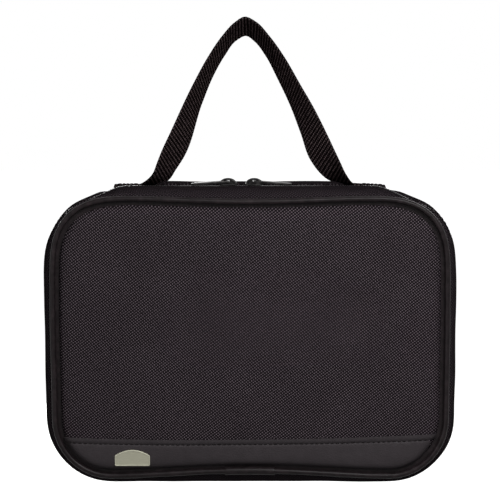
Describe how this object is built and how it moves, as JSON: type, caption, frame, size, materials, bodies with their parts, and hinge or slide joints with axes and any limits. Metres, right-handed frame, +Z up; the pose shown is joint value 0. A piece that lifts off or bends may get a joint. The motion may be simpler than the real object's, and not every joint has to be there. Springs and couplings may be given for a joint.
{
  "type": "glucose meter case",
  "caption": "Soft-sided zip case for a glucose meter: padded halves hinged along the bottom, piped edges, a leatherette foot strip, a webbing handle, inner loops and a mesh pocket.",
  "frame": {"origin": "middle of the bottom, on the zip line, at the surface the case stands on", "axes": "+Z up to the handle, -Y out of the front panel, +X to the right seen from the front"},
  "size_m": [0.241, 0.0797, 0.2716],
  "materials": {
    "nylon": "ballistic nylon weave",
    "leatherette": "fine pebble grain",
    "vinyl": "soft sheen",
    "webbing": "ribbed webbing",
    "tape": "woven tape",
    "coil": "nylon coil",
    "lining": "plain lining cloth",
    "board": "plain sheet",
    "mesh": "knitted mesh",
    "elastic": "woven elastic",
    "badge": "satin, bare",
    "zip_metal": "black, satin"
  },
  "bodies": {
    "rear_half": {"rear_panel": "nylon", "rear_board": "board", "rear_lining": "lining", "rear_piping": "vinyl", "rear_piping_sleeve": "vinyl", "rear_gusset": "nylon", "rear_binding": "tape", "zip_tape_rear": "tape", "zip_coil_rear": "coil", "zip_stop_left": "zip_metal", "zip_stop_right": "zip_metal", "meter_strap": "elastic", "vial_loop": "elastic", "pen_loop_lower": "elastic", "pen_loop_upper": "elastic", "handle_end_left": "webbing", "handle_end_right": "webbing", "hinge_strip": "nylon"},
    "lid": {"front_panel": "nylon", "front_trim": "leatherette", "badge_plate": "badge", "front_board": "board", "front_lining": "lining", "front_piping": "vinyl", "front_piping_sleeve": "vinyl", "front_gusset": "nylon", "front_binding": "tape", "zip_tape_front": "tape", "zip_coil_front": "coil", "mesh_pocket": "mesh", "pocket_binding": "elastic"},
    "slider_left": {"slider_left": "zip_metal"},
    "slider_right": {"slider_right": "zip_metal"},
    "pull_left": {"pull_left": "zip_metal"},
    "pull_right": {"pull_right": "zip_metal"},
    "handle": {"handle_strap": "webbing"}
  },
  "joints": [
    {"name": "lid_hinge", "type": "hinge", "parent": "rear_half", "child": "lid", "pos_m": [0, 0, 0], "axis": [1, 0, 0], "range_deg": [0, 170], "deforming": ["hinge_strip"]},
    {"name": "slider_left_slide", "type": "slide", "parent": "rear_half", "child": "slider_left", "axis": [-1, 0, 0], "range_m": [0, 0.053]},
    {"name": "slider_right_slide", "type": "slide", "parent": "rear_half", "child": "slider_right", "axis": [1, 0, 0], "range_m": [0, 0.0635]},
    {"name": "pull_left_flip", "type": "hinge", "parent": "slider_left", "child": "pull_left", "pos_m": [-0.0129, 0, 0.1745], "axis": [0, 1, 0], "range_deg": [0, 105]},
    {"name": "pull_right_flip", "type": "hinge", "parent": "slider_right", "child": "pull_right", "pos_m": [0.0025, 0, 0.1745], "axis": [0, -1, 0], "range_deg": [0, 105]},
    {"name": "handle_tilt", "type": "hinge", "parent": "rear_half", "child": "handle", "pos_m": [0, 0.0165, 0.1902], "axis": [1, 0, 0], "range_deg": [-90, 90], "deforming": ["handle_end_left", "handle_end_right"]}
  ]
}
